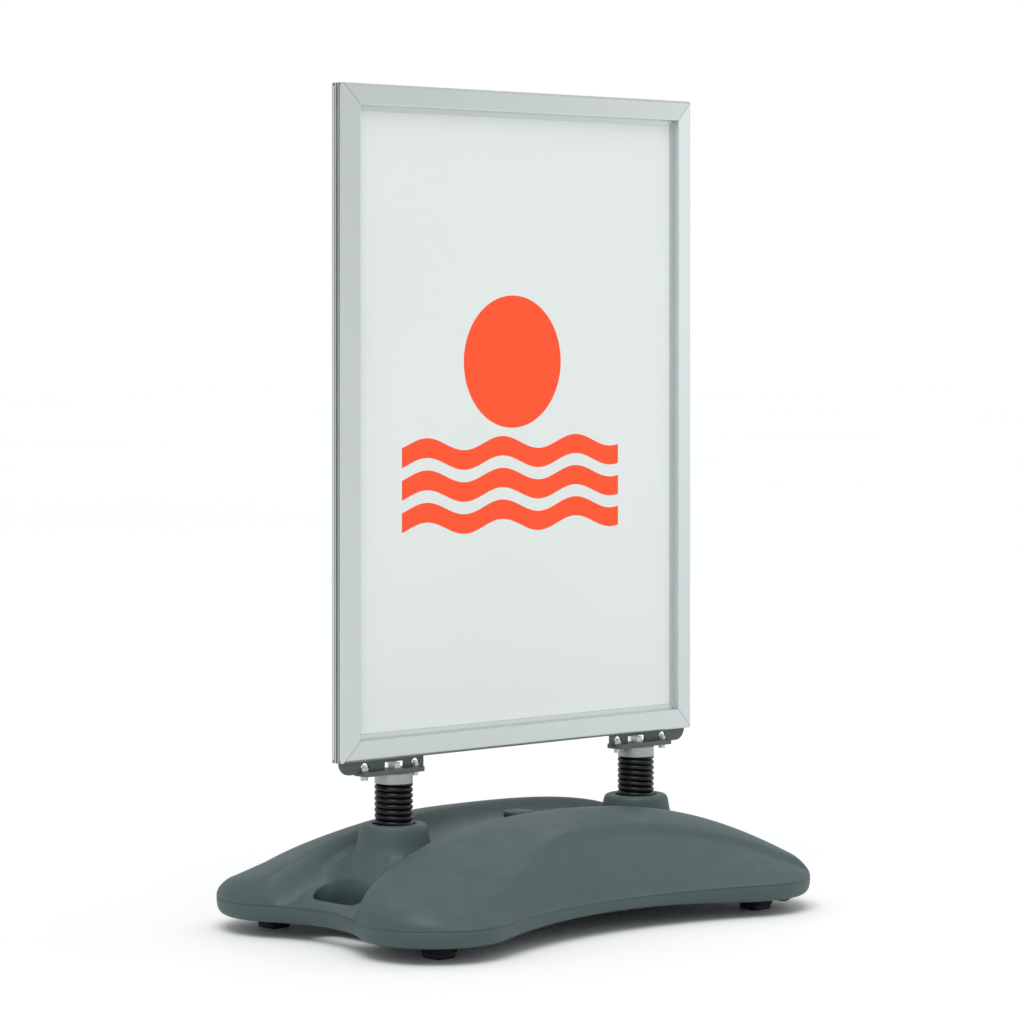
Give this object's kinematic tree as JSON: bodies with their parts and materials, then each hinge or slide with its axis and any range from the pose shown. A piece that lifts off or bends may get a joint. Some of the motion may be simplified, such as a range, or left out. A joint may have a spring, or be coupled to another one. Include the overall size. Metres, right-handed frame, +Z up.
{
  "type": "sandwich board",
  "caption": "Spring-mounted pavement sign: two back-to-back snap frames for posters on coil springs over a hollow water-filled moulded base with feet, wheels and a hand slot.",
  "frame": {"origin": "middle of the base's footprint, on the floor", "axes": "+Z up, +X along the length of the base towards its wheels, the front poster faces -Y"},
  "size_m": [0.783, 0.5, 1.15],
  "materials": {
    "moulded_base": "fine matt moulded grain",
    "cap_plastic": "fine matt moulded grain",
    "seal_rubber": "matt",
    "foot_rubber": "matt, slightly worn",
    "wheel_plastic": "satin moulded",
    "zinc_steel": "bright zinc plated",
    "cast_fitting": "light grey coated casting",
    "bracket_steel": "grey powder coat",
    "spring_steel": "black satin coat",
    "plate_steel": "grey powder coat",
    "rail_aluminium": "satin anodised",
    "flap_aluminium": "satin anodised",
    "leaf_steel": "spring steel",
    "key_steel": "zinc plated",
    "back_sheet": "smooth",
    "poster_paper": "matt printed paper",
    "clear_sheet": "clear anti-glare"
  },
  "bodies": {
    "base": {"base_tank": "moulded_base", "foot_left_front": "foot_rubber", "foot_left_rear": "foot_rubber", "foot_right_front": "foot_rubber", "foot_right_rear": "foot_rubber", "foot_screws": "zinc_steel", "wheel_axle_front": "zinc_steel", "wheel_axle_rear": "zinc_steel", "anchor_bolts": "zinc_steel", "anchor_washers": "zinc_steel", "spring_lower_fitting_left": "cast_fitting", "spring_lower_fitting_right": "cast_fitting", "spring_left": "spring_steel", "spring_right": "spring_steel"},
    "sign": {"centre_nuts": "zinc_steel", "centre_studs": "zinc_steel", "front_back_panel": "back_sheet", "front_clamp_screws": "zinc_steel", "front_corner_keys": "key_steel", "front_cover_sheet": "clear_sheet", "front_flap_springs": "leaf_steel", "front_poster": "poster_paper", "front_rail_bottom": "rail_aluminium", "front_rail_left": "rail_aluminium", "front_rail_right": "rail_aluminium", "front_rail_top": "rail_aluminium", "joining_plate_left": "plate_steel", "joining_plate_right": "plate_steel", "lower_bracket_left": "bracket_steel", "lower_bracket_right": "bracket_steel", "plate_bolts": "zinc_steel", "plate_nuts": "zinc_steel", "rear_back_panel": "back_sheet", "rear_clamp_screws": "zinc_steel", "rear_corner_keys": "key_steel", "rear_cover_sheet": "clear_sheet", "rear_flap_springs": "leaf_steel", "rear_poster": "poster_paper", "rear_rail_bottom": "rail_aluminium", "rear_rail_left": "rail_aluminium", "rear_rail_right": "rail_aluminium", "rear_rail_top": "rail_aluminium", "spring_plate_left": "bracket_steel", "spring_plate_right": "bracket_steel", "spring_upper_fitting_left": "cast_fitting", "spring_upper_fitting_right": "cast_fitting"},
    "cap_lift": {"filler_cap_seal": "seal_rubber"},
    "cap_turn": {"filler_cap": "cap_plastic"},
    "wheel_front_body": {"wheel_front": "wheel_plastic"},
    "wheel_rear_body": {"wheel_rear": "wheel_plastic"},
    "front_flap_bottom_body": {"front_flap_bottom": "flap_aluminium"},
    "front_flap_left_body": {"front_flap_left": "flap_aluminium"},
    "front_flap_right_body": {"front_flap_right": "flap_aluminium"},
    "front_flap_top_body": {"front_flap_top": "flap_aluminium"},
    "rear_flap_bottom_body": {"rear_flap_bottom": "flap_aluminium"},
    "rear_flap_left_body": {"rear_flap_left": "flap_aluminium"},
    "rear_flap_right_body": {"rear_flap_right": "flap_aluminium"},
    "rear_flap_top_body": {"rear_flap_top": "flap_aluminium"}
  },
  "joints": [
    {"name": "panel_sway", "type": "hinge", "parent": "base", "child": "sign", "pos_m": [0, 0, 0.178], "axis": [1, 0, 0], "range_deg": [-25, 25], "stiffness_Nm_per_rad": 220, "deforming": ["spring_left", "spring_right"]},
    {"name": "cap_lift_slide", "type": "slide", "parent": "base", "child": "cap_lift", "axis": [0, 0, 1], "range_m": [0, 0.016]},
    {"name": "cap_unscrew", "type": "hinge", "parent": "cap_lift", "child": "cap_turn", "pos_m": [0, 0, 0.14], "axis": [0, 0, 1], "range_deg": [0, 1440]},
    {"name": "wheel_front_spin", "type": "hinge", "parent": "base", "child": "wheel_front_body", "pos_m": [0.346, -0.178, 0.027], "axis": [0, 1, 0], "continuous": true},
    {"name": "wheel_rear_spin", "type": "hinge", "parent": "base", "child": "wheel_rear_body", "pos_m": [0.346, 0.178, 0.027], "axis": [0, 1, 0], "continuous": true},
    {"name": "front_flap_bottom_open", "type": "hinge", "parent": "sign", "child": "front_flap_bottom_body", "pos_m": [0, -0.0059, 0.243], "axis": [1, 0, 0], "range_deg": [0, 85]},
    {"name": "front_flap_top_open", "type": "hinge", "parent": "sign", "child": "front_flap_top_body", "pos_m": [0, -0.0059, 1.148], "axis": [-1, 0, 0], "range_deg": [0, 85]},
    {"name": "front_flap_left_open", "type": "hinge", "parent": "sign", "child": "front_flap_left_body", "pos_m": [-0.329, -0.0059, 0.6955], "axis": [0, 0, -1], "range_deg": [0, 85]},
    {"name": "front_flap_right_open", "type": "hinge", "parent": "sign", "child": "front_flap_right_body", "pos_m": [0.329, -0.0059, 0.6955], "axis": [0, 0, 1], "range_deg": [0, 85]},
    {"name": "rear_flap_bottom_open", "type": "hinge", "parent": "sign", "child": "rear_flap_bottom_body", "pos_m": [0, 0.0059, 0.243], "axis": [-1, 0, 0], "range_deg": [0, 85]},
    {"name": "rear_flap_top_open", "type": "hinge", "parent": "sign", "child": "rear_flap_top_body", "pos_m": [0, 0.0059, 1.148], "axis": [1, 0, 0], "range_deg": [0, 85]},
    {"name": "rear_flap_left_open", "type": "hinge", "parent": "sign", "child": "rear_flap_left_body", "pos_m": [0.329, 0.0059, 0.6955], "axis": [0, 0, -1], "range_deg": [0, 85]},
    {"name": "rear_flap_right_open", "type": "hinge", "parent": "sign", "child": "rear_flap_right_body", "pos_m": [-0.329, 0.0059, 0.6955], "axis": [0, 0, 1], "range_deg": [0, 85]}
  ],
  "couplings": [
    {"joint": "cap_unscrew", "follows": "cap_lift_slide", "rad_per_m": 1570.8}
  ]
}
